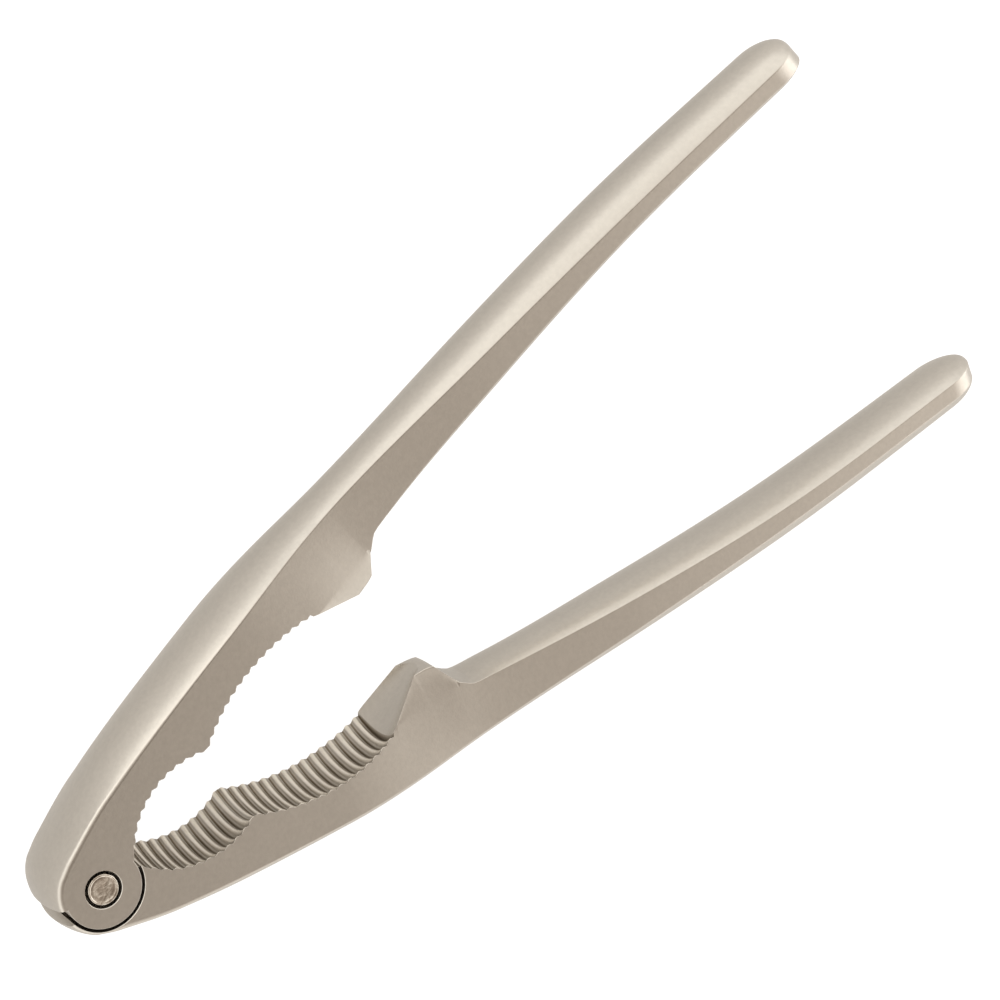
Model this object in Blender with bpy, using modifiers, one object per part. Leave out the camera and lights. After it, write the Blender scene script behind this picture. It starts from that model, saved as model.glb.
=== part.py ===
"""Lever nutcracker: two identical cast arms, half-lapped at the knuckle on one rivet pin.

The tool lies on its side. Its two arms open in the XY plane about the Z axis, which is the rivet's
axis. The origin is on that axis, in the plane of the lower side faces, and +X runs out between the
handles, along the line that halves the opening.

One arm is modelled in its own frame: +X from the rivet to the handle's tip, +Y outwards, away from
the other arm, and Z = 0 in the middle of its thickness. Its disc is on the +Z half. The other arm is
the same casting turned over about +X.
"""

import math

import bmesh
import bpy
from mathutils import Matrix, Vector

# Driving dimensions, in metres.
LENGTH = 0.1719  # rivet axis to the handle's tip
JAW_WIDTH = 0.0150  # across the flat sides, at the knuckle and the jaws
WAIST_WIDTH = 0.0097
WAIST_AT = 0.0685  # distance from the rivet
MID_WIDTH = 0.0116
GRIP_WIDTH = 0.0126  # the widest place on the handle
TIP_WIDTH = 0.0119  # where the rounded end starts
END_ROUNDING = 0.0068  # length of the rounded end, seen from the back of the arm
MID_SHARE = 0.31  # of the way from the waist to the tip
GRIP_SHARE = 0.62

# Knuckle.
DISC_RADIUS = 0.0062
SEAT_CLEARANCE = 0.00045
SEAT_WALL = 0.00045  # thinnest place, at the side face
LAP_GAP = 0.0003
PIN_RADIUS = 0.0025
PIN_CLEARANCE = 0.0004
PIN_EDGE = 0.0003
STOP_ANGLE = 157.0  # degrees from the arm's axis to the end face that stops the opening
SHOULDER_ANGLE = 118.0  # where the round of the knuckle runs out into the back
CORE_SHARE = 0.7  # of the disc's radius, where the sections round the rivet start
CORE_OVERLAP = 12.0  # degrees past the axis that they turn
JAW_ROOT_INSET = 0.0010
JAW_ROOT_DEPTH = 0.0010

# Back of the arm: the height of its edge with the flat side, and the rise that crowns it, which is
# a share of half the width.
TOP_RISE = 0.0003  # above the round of the knuckle
ROOT_RISE = 0.0022
ROOT_AT = 0.0100
BACK_AT_JAW = 0.0112
BACK_JAW_FROM = 0.0400
BACK_JAW_TO = 0.0600
BACK_AT_MID = 0.0082
BACK_AT_GRIP = 0.0052
BACK_AT_TIP = 0.0004
KNUCKLE_CROWN = 0.02
JAW_CROWN = 0.34
WAIST_CROWN = 0.38
GRIP_CROWN = 0.54
TIP_CROWN = 0.52
CROWN_FULL_AT = 0.0320
FRONT_CROWN = 0.87  # of the back's, from the grip to the tip

# Jaws: two hollows with a peak between them, ridged across, then a smooth face up to the beak.
JAW_START_GAP = 0.0008  # past the round of the knuckle
JAW_START_HEIGHT = 0.0004
PEAK = (0.0260, 0.0015)
RIDGES_END = (0.0517, 0.0022)
SMALL_HOLLOW = 0.0032
LARGE_HOLLOW = 0.0028
BEAK_TOP = 0.0596
BEAK_LENGTH = 0.0036
BEAK_REACH = 0.0032  # past the arm's axis, towards the other arm
RIDGE_PITCH = 0.00176
RIDGE_DEPTH = 0.0006
RIDGE_STEPS = 4
DISH = 0.25  # depth across the jaw, as a share of half the width
FACET_LINE = 0.0016
FACET_SLOPE = 0.45
FACET_MOST = 0.45  # of half the width
FLAT_SPLIT = 0.3  # of the way from the front to the back
BEAK_CROWN = 0.04

# Front of the handle, which faces the other handle.
VALLEY = 0.0010
VALLEY_LENGTH = 0.0025
FRONT_BUILD_UP = 0.0040  # from the waist, along which the crown reaches its full rise
FRONT_AT_WAIST = 0.0029
FRONT_AT_MID = 0.0041
FRONT_AT_GRIP = 0.0031
FRONT_AT_TIP = -0.0017

# How far the arms are open.
OPENING = 22.46  # degrees between the two arms' axes

ARC_POINTS = 4
CYLINDER_SIDES = 48
ROUND_STATIONS = 6
SHOULDER_STATIONS = 8
HANDLE_STATIONS = 20
HANDLE_EASE = 1.15  # sections are closer together near the waist
TIP_STATIONS = 6
TIP_TURN = 84  # degrees of the rounded end that the sections cover
SHARP_ANGLE = 30  # degrees, over which an edge is shaded sharp
CUT_OVER = 0.002  # how far a cutter runs past the face
NICKEL = (0.60, 0.56, 0.51, 1.0)


TOWARDS_OTHER = Vector((0, -1))


def smooth(knots, x):
    """Height at x of a smooth curve through the knots, which are in order of x."""
    if x <= knots[0][0]:
        return knots[0][1]
    if x >= knots[-1][0]:
        return knots[-1][1]
    slopes = []
    for i in range(len(knots)):
        before, after = knots[max(i - 1, 0)], knots[min(i + 1, len(knots) - 1)]
        slopes.append((after[1] - before[1]) / (after[0] - before[0]))
    i = max(k for k in range(len(knots) - 1) if knots[k][0] <= x)
    (x0, y0), (x1, y1) = knots[i], knots[i + 1]
    span = x1 - x0
    t = (x - x0) / span
    return (
        y0 * (1 + 2 * t) * (1 - t) ** 2
        + slopes[i] * span * t * (1 - t) ** 2
        + y1 * t * t * (3 - 2 * t)
        + slopes[i + 1] * span * t * t * (t - 1)
    )


def knuckle_radius():
    return DISC_RADIUS + SEAT_CLEARANCE + SEAT_WALL


def polar(radius, degrees):
    angle = math.radians(degrees)
    return Vector((radius * math.cos(angle), radius * math.sin(angle)))


def handle_x(share):
    return WAIST_AT + share * (LENGTH - WAIST_AT)


def back_height(x):
    """Edge between the back and the flat sides."""
    return smooth(
        (
            tuple(polar(knuckle_radius(), SHOULDER_ANGLE)),
            (0.0, knuckle_radius() + TOP_RISE),
            (ROOT_AT, knuckle_radius() + ROOT_RISE),
            (BACK_JAW_FROM, BACK_AT_JAW),
            (BACK_JAW_TO, BACK_AT_JAW),
            (handle_x(MID_SHARE), BACK_AT_MID),
            (handle_x(GRIP_SHARE), BACK_AT_GRIP),
            (LENGTH, BACK_AT_TIP),
        ),
        x,
    )


def front_height(x):
    """Edge between the handle's front and the flat sides, from the valley behind the beak."""
    return smooth(
        (
            (valley_x(), VALLEY),
            (WAIST_AT, FRONT_AT_WAIST),
            (handle_x(MID_SHARE), FRONT_AT_MID),
            (handle_x(GRIP_SHARE), FRONT_AT_GRIP),
            (LENGTH, FRONT_AT_TIP),
        ),
        x,
    )


def valley_x():
    return BEAK_TOP + BEAK_LENGTH + VALLEY_LENGTH


def half_width(x):
    """Half of the width across the flat sides, before the end is rounded."""
    return 0.5 * smooth(
        (
            (BACK_JAW_FROM, JAW_WIDTH),
            (WAIST_AT, WAIST_WIDTH),
            (handle_x(MID_SHARE), MID_WIDTH),
            (handle_x(GRIP_SHARE), GRIP_WIDTH),
            (LENGTH - END_ROUNDING, TIP_WIDTH),
        ),
        x,
    )


def crown(x):
    """Rise of the crown on the back, as a share of half the width."""
    return smooth(
        (
            (0.0, KNUCKLE_CROWN),
            (CROWN_FULL_AT, JAW_CROWN),
            (BACK_JAW_FROM, JAW_CROWN),
            (WAIST_AT, WAIST_CROWN),
            (handle_x(GRIP_SHARE), GRIP_CROWN),
            (LENGTH, TIP_CROWN),
        ),
        x,
    )


def front_crown(x):
    """The same for the handle's front, which starts flat in the valley."""
    return smooth(
        (
            (valley_x(), BEAK_CROWN),
            (WAIST_AT + FRONT_BUILD_UP, WAIST_CROWN),
            (handle_x(GRIP_SHARE), FRONT_CROWN * GRIP_CROWN),
            (LENGTH, FRONT_CROWN * TIP_CROWN),
        ),
        x,
    )


def hollow(start, end, depth, count):
    """Points along an arc from start to end, which is depth deep in the middle."""
    start, end = Vector(start), Vector(end)
    half = (end - start).length / 2
    radius = (half**2 + depth**2) / (2 * depth)
    across = (end - start).normalized()
    outward = Vector((-across.y, across.x))
    centre = (start + end) / 2 + outward * (depth - radius)
    sweep = math.asin(half / radius)
    points = []
    for i in range(count + 1):
        angle = sweep * (2 * i / count - 1)
        points.append(centre + radius * (math.sin(angle) * across + math.cos(angle) * outward))
    return points


def ridged(start, end, depth):
    """A hollow with ridges across it, at a whole number of pitches."""
    chord = (Vector(end) - Vector(start)).length
    length = chord + 8 / 3 * depth**2 / chord
    count = max(2, round(length / RIDGE_PITCH)) * RIDGE_STEPS
    points = hollow(start, end, depth, count)
    shaped = []
    for i, point in enumerate(points):
        before, after = points[max(i - 1, 0)], points[min(i + 1, count)]
        along = (after - before).normalized()
        valley = RIDGE_DEPTH * (1 - abs(math.sin(math.pi * i / RIDGE_STEPS)))
        shaped.append((point.x, point + valley * Vector((-along.y, along.x))))
    return shaped


def arc_across(edge, outward, half, share):
    """Section points from +Z to -Z between two edges, on an arc that rises by a share of half."""
    points = []
    for i in range(ARC_POINTS + 1):
        z = half * (1 - 2 * i / ARC_POINTS)
        rise = 0.0
        if share:
            radius = half * (1 + share**2) / (2 * abs(share))
            rise = math.sqrt(radius**2 - z**2) - math.sqrt(radius**2 - half**2)
        place = edge + outward * math.copysign(rise, share)
        points.append(Vector((place.x, place.y, z)))
    return points


def section(back, back_out, front, front_out, half, front_share):
    """One closed section of the arm: the back, a flat side, the front and the other flat side."""
    narrowing = 0.0
    if RIDGES_END[0] < front.x < valley_x():
        narrowing = min(FACET_SLOPE * max(0.0, FACET_LINE - front.y), FACET_MOST * half)
    split = FLAT_SPLIT
    if narrowing:
        split = (FACET_LINE - front.y) / (back.y - front.y)
    corner = front + split * (back - front)
    ring = arc_across(back, back_out, half, crown(back.x))
    ring.append(Vector((corner.x, corner.y, -half)))
    ring.extend(reversed(arc_across(front, front_out, half - narrowing, front_share)))
    ring.append(Vector((corner.x, corner.y, half)))
    return ring


def outward_of(height, x):
    step = 0.0002
    return Vector((height(x - step) - height(x + step), 2 * step)).normalized()


def knuckle_sections():
    """Round the rivet, from the stop face to the root of the jaw."""
    sections = []
    count = ROUND_STATIONS + SHOULDER_STATIONS
    start = polar(knuckle_radius(), SHOULDER_ANGLE).x
    end = DISC_RADIUS - JAW_ROOT_INSET
    for i in range(count):
        turn = (STOP_ANGLE + CORE_OVERLAP) * i / (count - 1)
        core = polar(CORE_SHARE * DISC_RADIUS, STOP_ANGLE - turn)
        if i < ROUND_STATIONS:
            angle = STOP_ANGLE + (SHOULDER_ANGLE - STOP_ANGLE) * i / ROUND_STATIONS
            back = polar(knuckle_radius(), angle)
            back_out = polar(1.0, angle)
        else:
            x = start + (end - start) * (i - ROUND_STATIONS) / (SHOULDER_STATIONS - 1)
            back = Vector((x, back_height(x)))
            back_out = outward_of(back_height, x)
        sections.append(section(back, back_out, core, TOWARDS_OTHER, JAW_WIDTH / 2, 0.0))
    return sections


def at(x, front, front_out, front_share, half=None):
    """The section whose back edge is at x."""
    back = Vector((x, back_height(x)))
    back_out = outward_of(back_height, x)
    return section(back, back_out, front, front_out, half or half_width(x), front_share)


def jaw_sections():
    start = (knuckle_radius() + JAW_START_GAP, JAW_START_HEIGHT)
    root = Vector((DISC_RADIUS, -JAW_ROOT_DEPTH))
    sections = [at(DISC_RADIUS, root, TOWARDS_OTHER, -DISH)]
    for x, front in ridged(start, PEAK, SMALL_HOLLOW)[:-1] + ridged(PEAK, RIDGES_END, LARGE_HOLLOW):
        sections.append(at(x, front, TOWARDS_OTHER, -DISH))
    return sections


def beak_sections():
    """The smooth face up to the beak, the beak's top, and its far side down to the valley."""
    start, top = Vector(RIDGES_END), Vector((BEAK_TOP, -BEAK_REACH))
    last = top + Vector((BEAK_LENGTH, 0))
    valley = Vector((valley_x(), VALLEY))
    places = [(start.lerp(top, share), -DISH) for share in (0.12, 0.45, 0.8)]
    places.append((top, 0.0))
    places.extend((top.lerp(last, share), BEAK_CROWN) for share in (0.3, 0.8, 1.0))
    places.extend((last.lerp(valley, share), BEAK_CROWN) for share in (0.4, 0.7))
    return [at(place.x, place, TOWARDS_OTHER, share) for place, share in places]


def handle_sections():
    sections = []
    round_from = LENGTH - END_ROUNDING
    places = []
    for i in range(HANDLE_STATIONS + 1):
        x = valley_x() + (round_from - valley_x()) * (i / HANDLE_STATIONS) ** HANDLE_EASE
        places.append((x, half_width(x)))
    for i in range(1, TIP_STATIONS + 1):
        turn = math.radians(TIP_TURN) * i / TIP_STATIONS
        places.append((round_from + END_ROUNDING * math.sin(turn), TIP_WIDTH / 2 * math.cos(turn)))
    for x, half in places:
        front = Vector((x, front_height(x)))
        sections.append(at(x, front, -outward_of(front_height, x), front_crown(x), half))
    return sections


def loft(name, sections):
    """A closed mesh through the sections, with a flat cap on each end."""
    shape = bmesh.new()
    rings = [[shape.verts.new(point) for point in ring] for ring in sections]
    count = len(rings[0])
    for ring, following in zip(rings, rings[1:]):
        for i in range(count):
            j = (i + 1) % count
            shape.faces.new((ring[i], ring[j], following[j], following[i]))
    shape.faces.new(reversed(rings[0]))
    shape.faces.new(rings[-1])
    bmesh.ops.recalc_face_normals(shape, faces=shape.faces)
    mesh = bpy.data.meshes.new(name)
    shape.to_mesh(mesh)
    shape.free()
    return mesh


def cylinder(name, radius, bottom, top, collection):
    shape = bmesh.new()
    bmesh.ops.create_cone(
        shape,
        cap_ends=True,
        segments=CYLINDER_SIDES,
        radius1=radius,
        radius2=radius,
        depth=top - bottom,
        matrix=Matrix.Translation((0, 0, (top + bottom) / 2)),
    )
    mesh = bpy.data.meshes.new(name)
    shape.to_mesh(mesh)
    shape.free()
    obj = bpy.data.objects.new(name, mesh)
    collection.objects.link(obj)
    return obj


def as_cutter(obj):
    obj.hide_render = True
    obj.display_type = "WIRE"
    return obj


def boolean(obj, other, operation):
    modifier = obj.modifiers.new(other.name, "BOOLEAN")
    modifier.operation = operation
    modifier.solver = "EXACT"
    modifier.object = other


def metal(name, color, roughness):
    material = bpy.data.materials.new(name)
    material.use_nodes = True
    shader = material.node_tree.nodes["Principled BSDF"]
    shader.inputs["Base Color"].default_value = color
    shader.inputs["Metallic"].default_value = 1.0
    shader.inputs["Roughness"].default_value = roughness
    material.diffuse_color = color
    return material


def shade(mesh):
    mesh.shade_smooth()
    mesh.set_sharp_from_angle(angle=math.radians(SHARP_ANGLE))


def build_arm(name, mesh, placing, collection, cutters):
    """An arm: the casting, its disc, the seat for the other arm's disc, and the rivet's bore."""
    arm = bpy.data.objects.new(name, mesh.copy())
    arm.data.name = name
    collection.objects.link(arm)
    arm.matrix_world = placing
    half = JAW_WIDTH / 2
    disc = cylinder(name + "_disc", DISC_RADIUS, LAP_GAP / 2, half, cutters)
    seat = cylinder(name + "_seat", DISC_RADIUS + SEAT_CLEARANCE, -half - CUT_OVER, LAP_GAP / 2, cutters)
    bore_radius = PIN_RADIUS + PIN_CLEARANCE
    bore = cylinder(name + "_bore", bore_radius, -half - CUT_OVER, half + CUT_OVER, cutters)
    for tool, operation in ((seat, "DIFFERENCE"), (disc, "UNION"), (bore, "DIFFERENCE")):
        tool.matrix_world = placing
        boolean(arm, as_cutter(tool), operation)
    arm.data.materials.append(metal(name + "_nickel", NICKEL, 0.38))
    shade(arm.data)
    return arm


def build_pin(collection):
    pin = cylinder("rivet_pin", PIN_RADIUS, 0.0, JAW_WIDTH, collection)
    edge = pin.modifiers.new("edge", "BEVEL")
    edge.width = PIN_EDGE
    edge.segments = 2
    edge.limit_method = "ANGLE"
    pin.data.materials.append(metal("bright_pin", (0.72, 0.68, 0.62, 1.0), 0.3))
    shade(pin.data)
    return pin


def main():
    for obj in list(bpy.data.objects):
        bpy.data.objects.remove(obj)
    parts = bpy.data.collections.new("nutcracker")
    cutters = bpy.data.collections.new("cutters")
    bpy.context.scene.collection.children.link(parts)
    bpy.context.scene.collection.children.link(cutters)

    sections = knuckle_sections() + jaw_sections() + beak_sections() + handle_sections()
    casting = loft("casting", sections)

    lift = Matrix.Translation((0, 0, JAW_WIDTH / 2))
    swing = math.radians(OPENING / 2)
    upper = lift @ Matrix.Rotation(swing, 4, "Z")
    lower = lift @ Matrix.Rotation(-swing, 4, "Z") @ Matrix.Rotation(math.pi, 4, "X")
    build_arm("upper_arm", casting, upper, parts, cutters)
    build_arm("lower_arm", casting, lower, parts, cutters)
    build_pin(parts)


main()
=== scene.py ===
"""A lever nutcracker, satin nickel plated: two arms from one casting, half-lapped on a rivet.

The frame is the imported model's: metres, +Z along the rivet, +X out between the handles.
"""

import math

import bmesh
import bpy
from mathutils import Matrix, Vector, noise


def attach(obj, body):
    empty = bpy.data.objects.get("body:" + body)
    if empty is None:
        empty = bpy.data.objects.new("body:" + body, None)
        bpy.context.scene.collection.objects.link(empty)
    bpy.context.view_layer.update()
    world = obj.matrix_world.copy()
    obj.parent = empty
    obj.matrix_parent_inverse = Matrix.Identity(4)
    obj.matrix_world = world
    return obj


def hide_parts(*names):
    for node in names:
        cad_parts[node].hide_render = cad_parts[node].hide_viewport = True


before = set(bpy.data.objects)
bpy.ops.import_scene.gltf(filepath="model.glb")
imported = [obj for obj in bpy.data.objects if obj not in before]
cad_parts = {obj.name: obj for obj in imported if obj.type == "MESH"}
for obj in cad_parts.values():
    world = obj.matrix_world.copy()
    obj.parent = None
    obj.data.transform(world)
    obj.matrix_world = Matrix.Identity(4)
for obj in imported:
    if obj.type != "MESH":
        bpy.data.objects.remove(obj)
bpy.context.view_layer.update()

# ---------------------------------------------------------------------------------------------
# Camera: a long lens half a metre off, above the nutcracker and behind its upper arm. It is
# rolled so that the handles open towards the upper right of the view.
# ---------------------------------------------------------------------------------------------

camera = bpy.data.objects.new("camera", bpy.data.cameras.new("camera"))
camera.data.lens = 126.0
camera.data.sensor_width = 36.0
camera.data.clip_start = 0.01
camera_right = Vector((0.7418, -0.4880, 0.4599))
camera_up = Vector((0.6211, 0.7587, -0.1967))
camera_back = camera_right.cross(camera_up).normalized()
camera_up = camera_back.cross(camera_right).normalized()
camera_turn = Matrix((camera_right.normalized(), camera_up, camera_back)).transposed()
camera.matrix_world = Matrix.Translation((-0.05247, 0.24240, 0.48633)) @ camera_turn.to_4x4()
bpy.context.scene.collection.objects.link(camera)
bpy.context.scene.camera = camera
bpy.context.scene.view_settings.view_transform = "Standard"

# ---------------------------------------------------------------------------------------------
# Floor and light: a matt table that glows white to the camera and dimmer in reflections, in a
# light tent with a dark ceiling, so that the flat sides, which face up, are darker than the
# crowned backs. Two round lamps stand behind the upper arm and beyond the tips.
# ---------------------------------------------------------------------------------------------


def node_in(tree, kind, **settings):
    """A new node with its properties set, and its inputs set or linked by name."""
    node = tree.nodes.new(kind)
    for key, value in settings.items():
        if key != "inputs":
            setattr(node, key, value)
    for key, value in settings.get("inputs", {}).items():
        if isinstance(value, bpy.types.NodeSocket):
            tree.links.new(value, node.inputs[key])
        else:
            node.inputs[key].default_value = value
    return node


def mixed(tree, factor, first, second, blend="MIX"):
    """The colour out of a new Mix node, whose colour inputs are its sockets 6 and 7."""
    sockets = {0: factor, 6: first, 7: second}
    mix = node_in(tree, "ShaderNodeMix", data_type="RGBA", blend_type=blend, inputs=sockets)
    return mix.outputs[2]


def worked_out(tree, operation, *values):
    """The value out of a new Math node."""
    inputs = dict(enumerate(values))
    return node_in(tree, "ShaderNodeMath", operation=operation, inputs=inputs).outputs[0]


def principled(name):
    """A new material, its node tree and its Principled shader."""
    material = bpy.data.materials.new(name)
    material.use_nodes = True
    return material, material.node_tree, material.node_tree.nodes["Principled BSDF"]


table_drop = 0.0001
table_bm = bmesh.new()
bmesh.ops.create_grid(table_bm, x_segments=1, y_segments=1, size=3.0)
table_mesh = bpy.data.meshes.new("table")
table_bm.to_mesh(table_mesh)
table_bm.free()
table_mesh.transform(Matrix.Translation((0.0, 0.0, -table_drop)))
table = bpy.data.objects.new("table", table_mesh)
bpy.context.scene.collection.objects.link(table)

table_material, table_tree, table_shader = principled("white_table")
table_grain = node_in(table_tree, "ShaderNodeTexNoise", inputs={"Scale": 40.0})
table_seen = node_in(table_tree, "ShaderNodeLightPath")
table_tone = mixed(
    table_tree, table_grain.outputs["Fac"], (0.29, 0.29, 0.29, 1.0), (0.31, 0.31, 0.31, 1.0)
)
table_glow = mixed(
    table_tree, table_seen.outputs["Is Camera Ray"],
    (0.55, 0.53, 0.505, 1.0), (0.95, 0.95, 0.95, 1.0),
)
table_tree.links.new(table_tone, table_shader.inputs["Base Color"])
table_tree.links.new(table_glow, table_shader.inputs["Emission Color"])
table_shader.inputs["Emission Strength"].default_value = 1.0
table_shader.inputs["Roughness"].default_value = 0.9
table_shader.inputs["Specular IOR Level"].default_value = 0.1
table.data.materials.append(table_material)

tent = bpy.data.worlds.new("light_tent")
bpy.context.scene.world = tent
tent.use_nodes = True
tent_nodes, tent_links = tent.node_tree.nodes, tent.node_tree.links
tent_place = tent_nodes.new("ShaderNodeTexCoord")
tent_axes = tent_nodes.new("ShaderNodeSeparateXYZ")
tent_ramp = tent_nodes.new("ShaderNodeValToRGB")
tent_tones = (
    (0.00, (1.00, 0.985, 0.95)),
    (0.55, (0.96, 0.94, 0.90)),
    (0.80, (0.52, 0.47, 0.42)),
    (0.97, (0.16, 0.13, 0.105)),
)
for position, _ in tent_tones[2:]:
    tent_ramp.color_ramp.elements.new(position)
for element, (position, tent_colour) in zip(tent_ramp.color_ramp.elements, tent_tones):
    element.position = position
    element.color = (*tent_colour, 1.0)
tent_links.new(tent_place.outputs["Generated"], tent_axes.inputs[0])
tent_links.new(tent_axes.outputs["Z"], tent_ramp.inputs["Fac"])
tent_links.new(tent_ramp.outputs["Color"], tent_nodes["Background"].inputs["Color"])
tent_nodes["Background"].inputs["Strength"].default_value = 1.35

for light_name, light_place, light_aim, light_size, light_power, light_colour in (
    ("window", (-0.35, 1.1, 0.45), (0.05, 0.0, 0.0), 0.7, 0.7, (1.0, 0.97, 0.92)),
    ("side", (1.0, -0.4, 0.4), (0.08, 0.0, 0.0), 0.7, 1.5, (0.96, 0.98, 1.0)),
):
    lamp = bpy.data.objects.new(light_name, bpy.data.lights.new(light_name, "AREA"))
    lamp.data.shape = "DISK"
    lamp.data.size = light_size
    lamp.data.energy = light_power
    lamp.data.color = light_colour
    aim = (Vector(light_aim) - Vector(light_place)).to_track_quat("-Z", "Y")
    lamp.matrix_world = Matrix.Translation(light_place) @ aim.to_matrix().to_4x4()
    bpy.context.scene.collection.objects.link(lamp)

# ---------------------------------------------------------------------------------------------
# The casting: both arms are this one piece of zinc alloy, die cast, blasted and satin nickel
# plated. A skin is wrapped round sections along the arm, in its own frame: +X from the rivet to
# the tip, +Y outwards and Z = 0 in the middle of its thickness.
# ---------------------------------------------------------------------------------------------

arm_length = 0.1719
jaw_half = 0.0075
waist_at = 0.0685
disc_radius = 0.0062
seat_gap = 0.00052
knuckle_radius = 0.0071
lap_gap = 0.0003
bore_radius = 0.00297
stop_angle = 157.0
shoulder_angle = 118.0
tip_length = 0.0068
tip_half = 0.00595
ridges_end = (0.0517, 0.0022)
beak_top = Vector((0.0596, -0.0032))
beak_far = beak_top + Vector((0.0036, 0.0))
valley = Vector((0.0657, 0.0010))


def through(knots, x, level_start=False):
    """Height at x of a smooth curve through the knots, which are in order of x."""
    if x <= knots[0][0]:
        return knots[0][1]
    if x >= knots[-1][0]:
        return knots[-1][1]
    slopes = []
    for i in range(len(knots)):
        before, after = knots[max(i - 1, 0)], knots[min(i + 1, len(knots) - 1)]
        slopes.append((after[1] - before[1]) / (after[0] - before[0]))
    if level_start:
        slopes[0] = 0.0
    i = max(k for k in range(len(knots) - 1) if knots[k][0] <= x)
    (x0, y0), (x1, y1) = knots[i], knots[i + 1]
    span = x1 - x0
    t = (x - x0) / span
    return (
        y0 * (1 + 2 * t) * (1 - t) ** 2
        + slopes[i] * span * t * (1 - t) ** 2
        + y1 * t * t * (3 - 2 * t)
        + slopes[i + 1] * span * t * t * (t - 1)
    )


def polar(radius, degrees):
    angle = math.radians(degrees)
    return Vector((radius * math.cos(angle), radius * math.sin(angle)))


handle = {share: waist_at + share * (arm_length - waist_at) for share in (0.31, 0.62)}
shoulder = polar(knuckle_radius, shoulder_angle)
back_knots = (
    tuple(shoulder),
    (0.0, knuckle_radius + 0.0003),
    (0.0100, knuckle_radius + 0.0022),
    (0.0400, 0.0112),
    (0.0600, 0.0112),
    (handle[0.31], 0.0082),
    (handle[0.62], 0.0052),
    (arm_length, 0.0004),
)
front_knots = (
    tuple(valley),
    (waist_at, 0.0026),
    (handle[0.31], 0.0035),
    (handle[0.62], 0.0024),
    (arm_length, -0.0022),
)
half_knots = (
    (0.0400, jaw_half),
    (waist_at, 0.00485),
    (handle[0.31], 0.0058),
    (handle[0.62], 0.0063),
    (arm_length - tip_length, tip_half),
)
back_crown = (
    (0.0, 0.14),
    (0.0160, 0.32),
    (0.0320, 0.34),
    (0.0400, 0.34),
    (waist_at, 0.38),
    (handle[0.62], 0.54),
    (arm_length, 0.52),
)
front_crown = (
    (valley.x, 0.04),
    (waist_at + 0.0040, 0.30),
    (handle[0.62], 0.34),
    (arm_length, 0.34),
)
back_softness = ((0.0, 0.0007), (0.0200, 0.0003), (0.0600, 0.00012), (arm_length, 0.00008))


fillet_turns = (0, 18, 36, 54, 72)
face_steps = 14
groove_at_edge, groove_rise = 0.45, 0.55


def across(edge, outward, half, share, softness, groove=0.0, reach=0.0):
    """Points from one side to the other over the back or the front, which rises by a share of half.

    The edges are rounded by softness. A groove is deepest in the middle, and so is reach, which
    leads the middle on towards the tip.
    """
    stops = [half - softness * (1 - math.cos(math.radians(turn))) for turn in fillet_turns]
    inner = half - softness
    stops += [inner * (1 - 2 * i / face_steps) for i in range(face_steps + 1)]
    stops += [-z for z in reversed(stops[: len(fillet_turns)])]
    points = []
    for z in stops:
        rise = 0.0
        if share:
            radius = half * (1 + share**2) / (2 * abs(share))
            bulge = math.sqrt(radius**2 - z**2) - math.sqrt(radius**2 - half**2)
            rise = math.copysign(bulge, share)
        from_edge = min(1.0, (half - abs(z)) / softness)
        rise -= softness * (1 - math.sqrt(max(0.0, 1 - (1 - from_edge) ** 2)))
        middle = 1 - (z / half) ** 2
        rise -= groove * (groove_at_edge + groove_rise * middle)
        place = edge + outward * rise
        points.append(Vector((place.x + reach * middle, place.y, z)))
    return points


beak_foot = 0.0016
beak_taper = 0.45
plain_split = 0.3
softest = 0.3
side_inset = 0.00012


def ring_round(back, back_out, front, front_out, half, share, softness, groove=0.0, reach=0.0):
    """A whole section: over the back, down one flat side, over the front and up the other side.

    Above its foot the beak's front is narrower, and the side is split there to slope in.
    """
    narrowing = 0.0
    if ridges_end[0] < front.x < valley.x:
        narrowing = min(beak_taper * max(0.0, beak_foot - front.y), beak_taper * half)
    split = (beak_foot - front.y) / (back.y - front.y) if narrowing else plain_split
    back_soft = min(through(back_softness, back.x), softest * half)
    front_soft = min(softness, softest * half)
    over_back = across(back, back_out, half, through(back_crown, back.x, True), back_soft)
    over_front = across(front, front_out, half - narrowing, share, front_soft, groove, reach)
    corner = front + split * (back - front)
    over_front.reverse()
    down, up = (-half, over_back[-1], over_front[0]), (half, over_front[-1], over_back[0])
    sides = []
    for z, first, last in (down, up):
        middle = Vector((corner.x, corner.y, z))
        sides.append([end + (middle - end).normalized() * side_inset for end in (first, last)])
        sides[-1].insert(1, middle)
    return over_back + sides[0] + over_front + sides[1]


slope_step = 0.0002


def outward_of(knots, x):
    """The direction square to the curve through the knots at x."""
    before, after = max(x - slope_step, knots[0][0]), min(x + slope_step, knots[-1][0])
    return Vector((through(knots, before) - through(knots, after), after - before)).normalized()


def section_at(x, front, front_out, share, softness, half=None, groove=0.0, reach=0.0):
    back = Vector((x, through(back_knots, x)))
    half = half or through(half_knots, x, True)
    back_out = outward_of(back_knots, x)
    return ring_round(back, back_out, front, front_out, half, share, softness, groove, reach)


ridge_pitch = 0.00176
ridge_steps = 20
ridge_groove, line_groove = 0.00078, 0.00008
lines_per_ridge = 4
# Level of a ridge's painted light that leaves the colour as it is.
unpainted_level = 0.6
line_shade = 0.35


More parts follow.
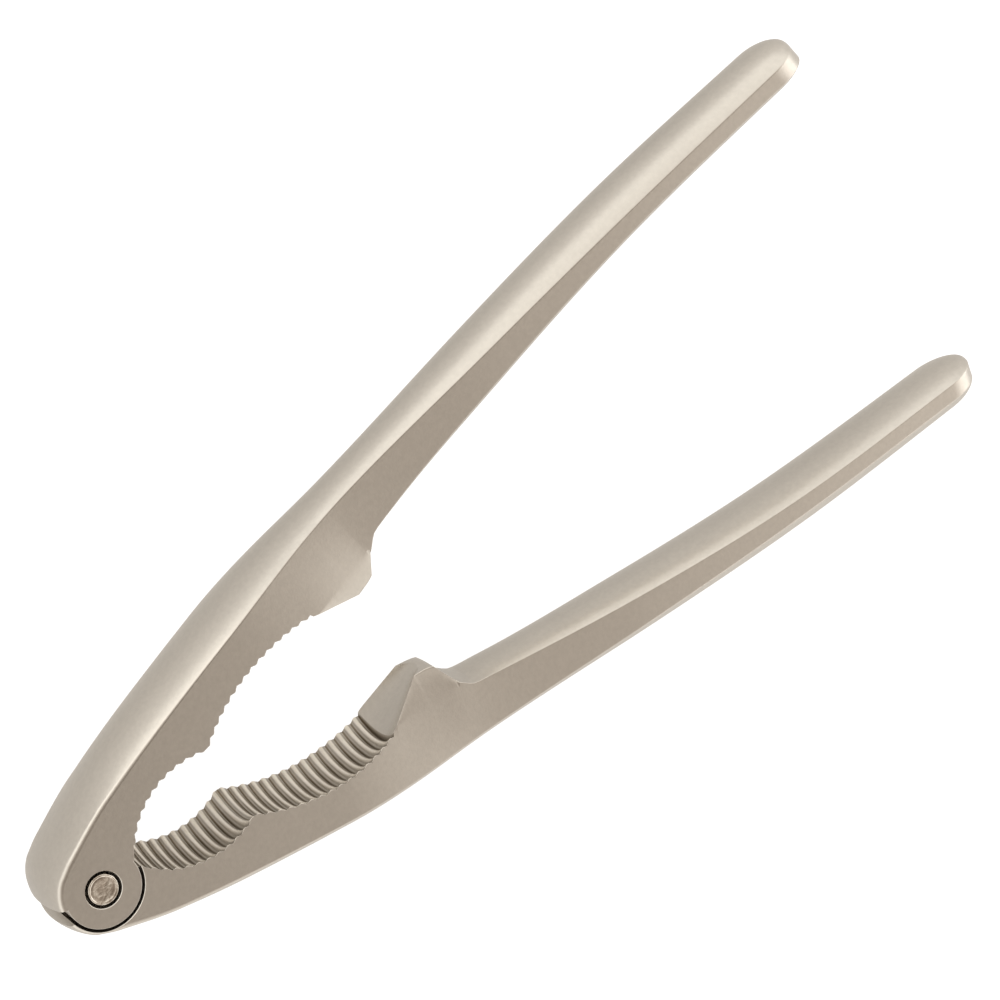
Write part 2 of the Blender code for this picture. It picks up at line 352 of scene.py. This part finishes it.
def ridges(start, end, depth):
    """Places along a hollow from start to end, each with its painted light value and its groove's
    depth.

    The painted light is a painted highlight on the crests and painted shade between them,
    where there are faint lines.
    """
    start, end = Vector(start), Vector(end)
    chord = (end - start).length
    arc = chord + 8 / 3 * depth**2 / chord
    count = max(2, round(arc / ridge_pitch)) * ridge_steps
    radius = (chord**2 / 4 + depth**2) / (2 * depth)
    along = (end - start).normalized()
    outward = Vector((-along.y, along.x))
    centre = (start + end) / 2 + outward * (depth - radius)
    sweep = math.asin(chord / 2 / radius)
    places = []
    for i in range(count + 1):
        angle = sweep * (2 * i / count - 1)
        place = centre + radius * (math.sin(angle) * along + math.cos(angle) * outward)
        crest = math.sin(math.pi * i / ridge_steps) ** 2
        line = (1 - crest) * math.cos(2 * math.pi * lines_per_ridge * i / ridge_steps)
        painted_light_value = crest - unpainted_level - line_shade * line
        places.append((place, painted_light_value, ridge_groove * (1 - crest) + line_groove * line))
    return places


towards_other = Vector((0.0, -1.0))
sections = []
painted_light_rows = {}

# Round the rivet, from the stop face to the root of the jaw.
knuckle_softness = 0.0002
core_radius = 0.4 * disc_radius
core_end = -12.0
stop_steps, root_steps, turn_steps = 16, 24, 14
core_steps = stop_steps + root_steps - 1
core = []
for i in range(core_steps + 1):
    core.append(polar(core_radius, stop_angle - (stop_angle - core_end) * i / core_steps))
for i in range(stop_steps):
    angle = stop_angle + (shoulder_angle - stop_angle) * i / stop_steps
    back, out = polar(knuckle_radius, angle), polar(1.0, angle)
    sections.append(ring_round(back, out, core[i], towards_other, jaw_half, 0.0, knuckle_softness))
root_x = disc_radius - 0.0010
for i in range(root_steps):
    x = shoulder.x + (root_x - shoulder.x) * i / (root_steps - 1)
    back, front = Vector((x, through(back_knots, x))), core[stop_steps + i]
    out = polar(1.0, shoulder_angle).lerp(outward_of(back_knots, x), min(1.0, i / turn_steps))
    out.normalize()
    sections.append(ring_round(back, out, front, towards_other, jaw_half, 0.0, knuckle_softness))

# The jaw: its root, a small ridged hollow, the peak, a large ridged hollow.
jaw_start = (knuckle_radius + 0.0008, 0.0004)
peak = (0.0260, 0.0015)
small_depth, large_depth = 0.0032, 0.0028
root_dish, jaw_dish = -0.25, -0.32
ridge_softness = 0.00022
root = Vector((disc_radius, -0.0010))
sections.append(section_at(disc_radius, root, towards_other, root_dish, knuckle_softness))
hollow_places = ridges(jaw_start, peak, small_depth)[:-1] + ridges(peak, ridges_end, large_depth)
# Each ridged section carries its painted light: painted highlight on a crest, painted shade
# between.
for place, painted_light_value, groove in hollow_places:
    painted_light_rows[len(sections)] = painted_light_value
    sections.append(
        section_at(place.x, place, towards_other, jaw_dish, ridge_softness, groove=groove)
    )

# The beak: a smooth dished face, a narrower rounded top, and its far side down to the valley.
start = Vector(ridges_end)
dish_reach = 0.0022
face_softness, beak_softness = 0.00012, 0.0002
beak_crown = 0.05
top_rounding = 0.00035
for share in (0.03, 0.07, 0.15, 0.3, 0.45, 0.6, 0.75, 0.9, 0.97, 1.0):
    place = start.lerp(beak_top, share)
    dish, reach = jaw_dish * (1 - share), dish_reach * share
    sections.append(section_at(place.x, place, towards_other, dish, face_softness, reach=reach))
for share in (0.04, 0.12, 0.25, 0.4, 0.6, 0.8, 0.92, 0.97, 1.0):
    place = beak_top.lerp(beak_far, share) + Vector((0.0, top_rounding * share**4))
    crown, reach = beak_crown * share, dish_reach * (1 - share)
    sections.append(section_at(place.x, place, towards_other, crown, beak_softness, reach=reach))
for share in (0.04, 0.12, 0.22, 0.34, 0.46, 0.58, 0.7, 0.8, 0.9):
    place = beak_far.lerp(valley, share) + Vector((0.0, top_rounding * (1 - share)))
    sections.append(section_at(place.x, place, towards_other, beak_crown, beak_softness))

# The handle, out to its rounded end.
handle_steps, tip_steps = 80, 18
handle_spacing = 1.15
tip_turn = 88.0
handle_softness = 0.00008
round_from = arm_length - tip_length
handle_places = []
for i in range(handle_steps + 1):
    x = valley.x + (round_from - valley.x) * (i / handle_steps) ** handle_spacing
    handle_places.append((x, through(half_knots, x, True)))
for i in range(1, tip_steps + 1):
    turn = math.radians(tip_turn) * i / tip_steps
    handle_places.append((round_from + tip_length * math.sin(turn), tip_half * math.cos(turn)))
for x, half in handle_places:
    front = Vector((x, through(front_knots, x)))
    out = -outward_of(front_knots, x)
    crown = through(front_crown, x)
    sections.append(section_at(x, front, out, crown, handle_softness, half))

# A grid is wrapped round the sections like a skin, joined along its seam and capped at its ends.
# The ridges' painted light (painted highlight on the crests, painted shade between them) is kept
# to the front face, a few points in from the flat sides.
same_place = 1e-7
casting_bm = bmesh.new()
painted_light = casting_bm.verts.layers.float.new("painted_light")
rows, columns = len(sections), len(sections[0])
front_columns = range(columns // 2 + 2, columns - 5)
bmesh.ops.create_grid(casting_bm, x_segments=rows - 1, y_segments=columns, size=1.0)
for vertex in casting_bm.verts:
    row = round((vertex.co.x + 1) / 2 * (rows - 1))
    column = round((vertex.co.y + 1) / 2 * columns) % columns
    vertex.co = sections[row][column]
    vertex[painted_light] = painted_light_rows.get(row, 0.0) if column in front_columns else 0.0
bmesh.ops.remove_doubles(casting_bm, verts=casting_bm.verts, dist=same_place)
bmesh.ops.holes_fill(casting_bm, edges=[e for e in casting_bm.edges if e.is_boundary], sides=0)
bmesh.ops.recalc_face_normals(casting_bm, faces=casting_bm.faces)
casting = bpy.data.meshes.new("casting")
casting_bm.to_mesh(casting)
casting_bm.free()


def turned(name, profile):
    """A solid turned about Z from (radius, height) pairs, which start and end on the axis."""
    bm = bmesh.new()
    rim = [bm.verts.new((radius, 0.0, height)) for radius, height in profile]
    edges = [bm.edges.new(pair) for pair in zip(rim, rim[1:])]
    bmesh.ops.spin(
        bm, geom=rim + edges, cent=(0, 0, 0), axis=(0, 0, 1),
        steps=128, angle=2 * math.pi, use_merge=True,
    )
    bmesh.ops.remove_doubles(bm, verts=bm.verts, dist=same_place)
    bmesh.ops.recalc_face_normals(bm, faces=bm.faces)
    mesh = bpy.data.meshes.new(name)
    bm.to_mesh(mesh)
    bm.free()
    return mesh


# The disc stands on the upper half, the seat for the other arm's disc is cut in the lower half.
seat_radius = disc_radius + seat_gap
chip = 0.00009
beyond = 0.002
disc_top = jaw_half + 0.000003
seat_top = lap_gap / 2 - 0.000002
disc = turned("disc", (
    (0, lap_gap / 2), (disc_radius, lap_gap / 2), (disc_radius, disc_top - chip),
    (disc_radius - 0.3 * chip, disc_top - 0.3 * chip),
    (disc_radius - chip, disc_top), (0, disc_top),
))
seat = turned("seat", (
    (0, -jaw_half - beyond), (seat_radius + chip + beyond, -jaw_half - beyond),
    (seat_radius + chip, -jaw_half), (seat_radius, -jaw_half + chip),
    (seat_radius, seat_top), (0, seat_top),
))
bore = turned("bore", (
    (0, -jaw_half - beyond), (bore_radius + chip + beyond, -jaw_half - beyond),
    (bore_radius + chip, -jaw_half), (bore_radius, -jaw_half + chip),
    (bore_radius, jaw_half - chip), (bore_radius + chip, jaw_half),
    (bore_radius + chip + beyond, jaw_half + beyond), (0, jaw_half + beyond),
))


def cut(mesh, steps):
    """The mesh after each (operation, tool mesh), as a new mesh."""
    work = bpy.data.objects.new("work", mesh)
    bpy.context.scene.collection.objects.link(work)
    tools = []
    for operation, tool_mesh in steps:
        tool = bpy.data.objects.new(tool_mesh.name, tool_mesh)
        bpy.context.scene.collection.objects.link(tool)
        tools.append(tool)
        modifier = work.modifiers.new(tool_mesh.name, "BOOLEAN")
        modifier.operation = operation
        modifier.solver = "MANIFOLD"
        modifier.object = tool
    bpy.context.view_layer.update()
    evaluated = work.evaluated_get(bpy.context.evaluated_depsgraph_get())
    result = bpy.data.meshes.new_from_object(evaluated)
    for done in [work] + tools:
        bpy.data.objects.remove(done)
    return result


arm_mesh = cut(casting, (("DIFFERENCE", seat), ("UNION", disc), ("DIFFERENCE", bore)))
level_normal = 0.99999
beak_from, beak_to, beak_height = ridges_end[0] - 0.0002, valley.x + 0.0004, 0.0020
beak_crease, plain_crease = 27.0, 21.0
arm_bm = bmesh.new()
arm_bm.from_mesh(arm_mesh)
for edge in arm_bm.edges:
    level = [abs(face.normal.z) > level_normal for face in edge.link_faces]
    middle = (edge.verts[0].co + edge.verts[1].co) / 2
    bend = math.degrees(edge.calc_face_angle(0.0))
    if beak_from < middle.x < beak_to and middle.y < beak_height:
        edge.smooth = all(level) or bend < beak_crease
    else:
        edge.smooth = all(level) or (not any(level) and bend < plain_crease)
for face in arm_bm.faces:
    face.smooth = True
arm_bm.to_mesh(arm_mesh)
arm_bm.free()

# Surface of the plate: a fine blasted grain, faint lines brushed across the crowns and a slow
# change of tone. The flat sides are rougher for the coarser blasting on them, and a little darker
# and browner, with painted shade near the rivet and painted light towards the tip. The crowns get
# a painted highlight where they turn towards the flat sides, and the ridges a painted highlight
# on their crests and painted shade between them.
plate = bpy.data.node_groups.new("satin_plate", "ShaderNodeTree")
for socket_name, socket_type in (
    ("Place", "NodeSocketVector"),
    ("Side Colour", "NodeSocketColor"),
    ("Back Colour", "NodeSocketColor"),
    ("Painted Light", "NodeSocketFloat"),
):
    plate.interface.new_socket(socket_name, in_out="INPUT", socket_type=socket_type)
for socket_name, socket_type in (
    ("Colour", "NodeSocketColor"),
    ("Roughness", "NodeSocketFloat"),
    ("Height", "NodeSocketFloat"),
):
    plate.interface.new_socket(socket_name, in_out="OUTPUT", socket_type=socket_type)

plate_in = plate.nodes.new("NodeGroupInput")
plate_out = plate.nodes.new("NodeGroupOutput")
facing = node_in(plate, "ShaderNodeNewGeometry")
facing_axes = node_in(plate, "ShaderNodeSeparateXYZ", inputs={0: facing.outputs["Normal"]})
facing_up = worked_out(plate, "ABSOLUTE", facing_axes.outputs["Z"])
flat_side = node_in(
    plate, "ShaderNodeMapRange", interpolation_type="SMOOTHSTEP",
    inputs={"Value": facing_up, "From Min": 0.80, "From Max": 0.96},
)
blast = node_in(
    plate, "ShaderNodeTexNoise",
    inputs={"Vector": plate_in.outputs["Place"], "Scale": 2600.0, "Detail": 3.0, "Roughness": 0.6},
)
mottle = node_in(
    plate, "ShaderNodeTexNoise",
    inputs={"Vector": plate_in.outputs["Place"], "Scale": 1300.0, "Detail": 4.0, "Roughness": 0.65},
)
cloud = node_in(
    plate, "ShaderNodeTexNoise",
    inputs={"Vector": plate_in.outputs["Place"], "Scale": 45.0, "Detail": 2.0},
)
brush_place = node_in(
    plate, "ShaderNodeMapping",
    inputs={"Vector": plate_in.outputs["Place"], "Scale": (2400.0, 60.0, 60.0)},
)
brush = node_in(
    plate, "ShaderNodeTexNoise",
    inputs={"Vector": brush_place.outputs[0], "Scale": 1.0, "Detail": 2.0},
)
along = node_in(plate, "ShaderNodeSeparateXYZ", inputs={0: plate_in.outputs["Place"]})
# Painted shade and light on the flat sides: darker near the rivet, lighter towards the tip.
painted_side_shading = node_in(
    plate, "ShaderNodeMapRange",
    inputs={"Value": along.outputs["X"], "From Max": 0.16, "To Min": 0.90, "To Max": 1.10},
)
# Painted highlight: the crown's colour is lifted where it turns up towards the flat sides.
painted_edge_highlight = node_in(
    plate, "ShaderNodeMapRange", interpolation_type="SMOOTHSTEP",
    inputs={
        "Value": facing_up, "From Min": 0.04, "From Max": 0.55, "To Min": 0.99, "To Max": 1.14,
    },
)
speckle = node_in(
    plate, "ShaderNodeMapRange",
    inputs={
        "Value": mottle.outputs["Fac"],
        "From Min": 0.3, "From Max": 0.7, "To Min": 0.955, "To Max": 1.045,
    },
)
patch = node_in(
    plate, "ShaderNodeMapRange",
    inputs={
        "Value": cloud.outputs["Fac"],
        "From Min": 0.3, "From Max": 0.7, "To Min": 0.985, "To Max": 1.015,
    },
)
shade = worked_out(plate, "MULTIPLY", speckle.outputs[0], patch.outputs[0])
side_tone = mixed(plate, 1.0, plate_in.outputs["Side Colour"], painted_side_shading.outputs[0], "MULTIPLY")
back_tone = mixed(plate, 1.0, plate_in.outputs["Back Colour"], painted_edge_highlight.outputs[0], "MULTIPLY")
tone = mixed(plate, flat_side.outputs[0], back_tone, side_tone)
colour = mixed(plate, 1.0, tone, shade, "MULTIPLY")
# Painted light on the ridges: a painted highlight up to 1.6 times the colour on the crests and
# painted shade down to about 0.4 times it in the valleys between them.
painted_light_level = worked_out(plate, "ADD", plate_in.outputs["Painted Light"], unpainted_level)
painted_light_ramp = node_in(plate, "ShaderNodeValToRGB", inputs={"Fac": painted_light_level})
painted_light_ramp.color_ramp.elements[0].color = (0.44, 0.40, 0.35, 1.0)
painted_light_ramp.color_ramp.elements[1].color = (1.60, 1.60, 1.59, 1.0)
painted_light_ramp.color_ramp.elements.new(unpainted_level).color = (1.0, 1.0, 1.0, 1.0)
painted_light_colour = mixed(plate, 1.0, colour, painted_light_ramp.outputs["Color"], "MULTIPLY")
rough_side = node_in(
    plate, "ShaderNodeMapRange",
    inputs={"Value": flat_side.outputs[0], "To Min": 0.34, "To Max": 0.44},
)
rough_change = worked_out(
    plate, "MULTIPLY_ADD", blast.outputs["Fac"], 0.10, rough_side.outputs[0]
)
rough = worked_out(plate, "SUBTRACT", rough_change, 0.05)
brush_share = worked_out(plate, "SUBTRACT", 1.0, flat_side.outputs[0])
brush_height = worked_out(plate, "MULTIPLY", brush.outputs["Fac"], brush_share)
height = worked_out(plate, "MULTIPLY_ADD", brush_height, 0.5, blast.outputs["Fac"])
plate.links.new(painted_light_colour, plate_out.inputs["Colour"])
plate.links.new(rough, plate_out.inputs["Roughness"])
plate.links.new(height, plate_out.inputs["Height"])


def nickel(name, turn, flip, rise):
    """Satin nickel for one arm. The mapping takes a place to the arm's own frame."""
    material, tree, shader = principled(name)
    place = node_in(tree, "ShaderNodeTexCoord")
    own = node_in(
        tree, "ShaderNodeMapping",
        inputs={
            "Vector": place.outputs["Object"],
            "Rotation": (0.0, 0.0, turn), "Scale": flip, "Location": (0.0, 0.0, rise),
        },
    )
    ridge_painted_light = node_in(tree, "ShaderNodeAttribute", attribute_name="painted_light")
    surface = node_in(
        tree, "ShaderNodeGroup", node_tree=plate,
        inputs={
            "Place": own.outputs[0], "Painted Light": ridge_painted_light.outputs["Fac"],
            "Side Colour": (0.56, 0.513, 0.455, 1.0), "Back Colour": (0.57, 0.534, 0.482, 1.0),
        },
    )
    bump = node_in(
        tree, "ShaderNodeBump",
        inputs={"Height": surface.outputs["Height"], "Strength": 0.25, "Distance": 0.00006},
    )
    shader.inputs["Metallic"].default_value = 1.0
    tree.links.new(surface.outputs["Colour"], shader.inputs["Base Color"])
    tree.links.new(surface.outputs["Roughness"], shader.inputs["Roughness"])
    tree.links.new(bump.outputs[0], shader.inputs["Normal"])
    return material


opening = 22.46
swing = math.radians(opening / 2)
lift = Matrix.Translation((0.0, 0.0, jaw_half))
for arm_name, body, finish, placing, material in (
    ("upper_casting", "upper_lever", "upper_nickel", lift @ Matrix.Rotation(swing, 4, "Z"),
     nickel("upper_nickel", -swing, (1, 1, 1), -jaw_half)),
    ("lower_casting", "lower_lever", "lower_nickel",
     lift @ Matrix.Rotation(-swing, 4, "Z") @ Matrix.Rotation(math.pi, 4, "X"),
     nickel("lower_nickel", -swing, (1, -1, -1), jaw_half)),
):
    mesh = arm_mesh.copy()
    mesh.name = arm_name
    mesh.transform(placing)
    mesh.materials.clear()
    mesh.materials.append(material)
    arm = bpy.data.objects.new(arm_name, mesh)
    bpy.context.scene.collection.objects.link(arm)
    even = arm.modifiers.new("even_shading", "WEIGHTED_NORMAL")
    even.keep_sharp = True
    even.weight = 90
    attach(arm, body)
    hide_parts("upper_arm" if body == "upper_lever" else "lower_arm")

# ---------------------------------------------------------------------------------------------
# The rivet pin: a bright steel pin through both discs, its ends peened by hand with a round-faced
# hammer, which leaves a turned rim and an uneven face.
# ---------------------------------------------------------------------------------------------

pin_radius = 0.00247
pin_top = 2 * jaw_half
peened_radius, peened_depth = 0.00195, 0.001
dent_depth, dent_scale, dent_fade = 0.00007, 1300, 0.0004

# Radius and how far the end is sunk there, from the axis out.
pin_end = (
    (0.0, 0.00010), (0.0004, 0.00010), (0.0008, 0.00009), (0.0012, 0.00008), (0.0016, 0.00006),
    (0.00185, 0.00004), (0.0020, 0.00009), (0.00208, 0.00010), (0.00216, 0.00003), (0.00228, 0.0),
    (0.00238, 0.00004), (0.00246, 0.00013), (pin_radius, 0.00028),
)
pin_mesh = turned("pin", [*pin_end, *((r, pin_top - sink) for r, sink in reversed(pin_end))])
pin_bm = bmesh.new()
pin_bm.from_mesh(pin_mesh)
for vertex in pin_bm.verts:
    from_axis = vertex.co.xy.length
    if from_axis > peened_radius or peened_depth < vertex.co.z < pin_top - peened_depth:
        continue
    dent = dent_depth * noise.noise(vertex.co * dent_scale)
    dent *= min(1.0, (peened_radius - from_axis) / dent_fade)
    vertex.co.z += -abs(dent) if vertex.co.z > jaw_half else abs(dent)
pin_bm.to_mesh(pin_mesh)
pin_bm.free()
pin_mesh.shade_smooth()
pin_mesh.set_sharp_from_angle(angle=math.radians(50.0))

pin_material, pin_tree, pin_shader = principled("bright_rivet")
pin_place = node_in(pin_tree, "ShaderNodeTexCoord")
pin_smear = node_in(
    pin_tree, "ShaderNodeTexNoise",
    inputs={
        "Vector": pin_place.outputs["Object"], "Scale": 700.0, "Detail": 4.0, "Distortion": 0.8,
    },
)
pin_tone = node_in(
    pin_tree, "ShaderNodeMapRange",
    inputs={"Value": pin_smear.outputs["Fac"], "From Min": 0.35, "From Max": 0.65},
)
pin_colour = mixed(pin_tree, pin_tone.outputs[0], (0.50, 0.43, 0.36, 1.0), (0.86, 0.80, 0.71, 1.0))
pin_rough = node_in(
    pin_tree, "ShaderNodeMapRange",
    inputs={"Value": pin_smear.outputs["Fac"], "To Min": 0.16, "To Max": 0.36},
)
pin_bump = node_in(
    pin_tree, "ShaderNodeBump",
    inputs={"Height": pin_smear.outputs["Fac"], "Strength": 0.5, "Distance": 0.0002},
)
pin_shader.inputs["Metallic"].default_value = 1.0
pin_tree.links.new(pin_colour, pin_shader.inputs["Base Color"])
pin_tree.links.new(pin_rough.outputs[0], pin_shader.inputs["Roughness"])
pin_tree.links.new(pin_bump.outputs[0], pin_shader.inputs["Normal"])
pin_mesh.materials.append(pin_material)
pin = bpy.data.objects.new("peened_rivet", pin_mesh)
bpy.context.scene.collection.objects.link(pin)
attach(pin, "lower_lever")
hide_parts("rivet_pin")
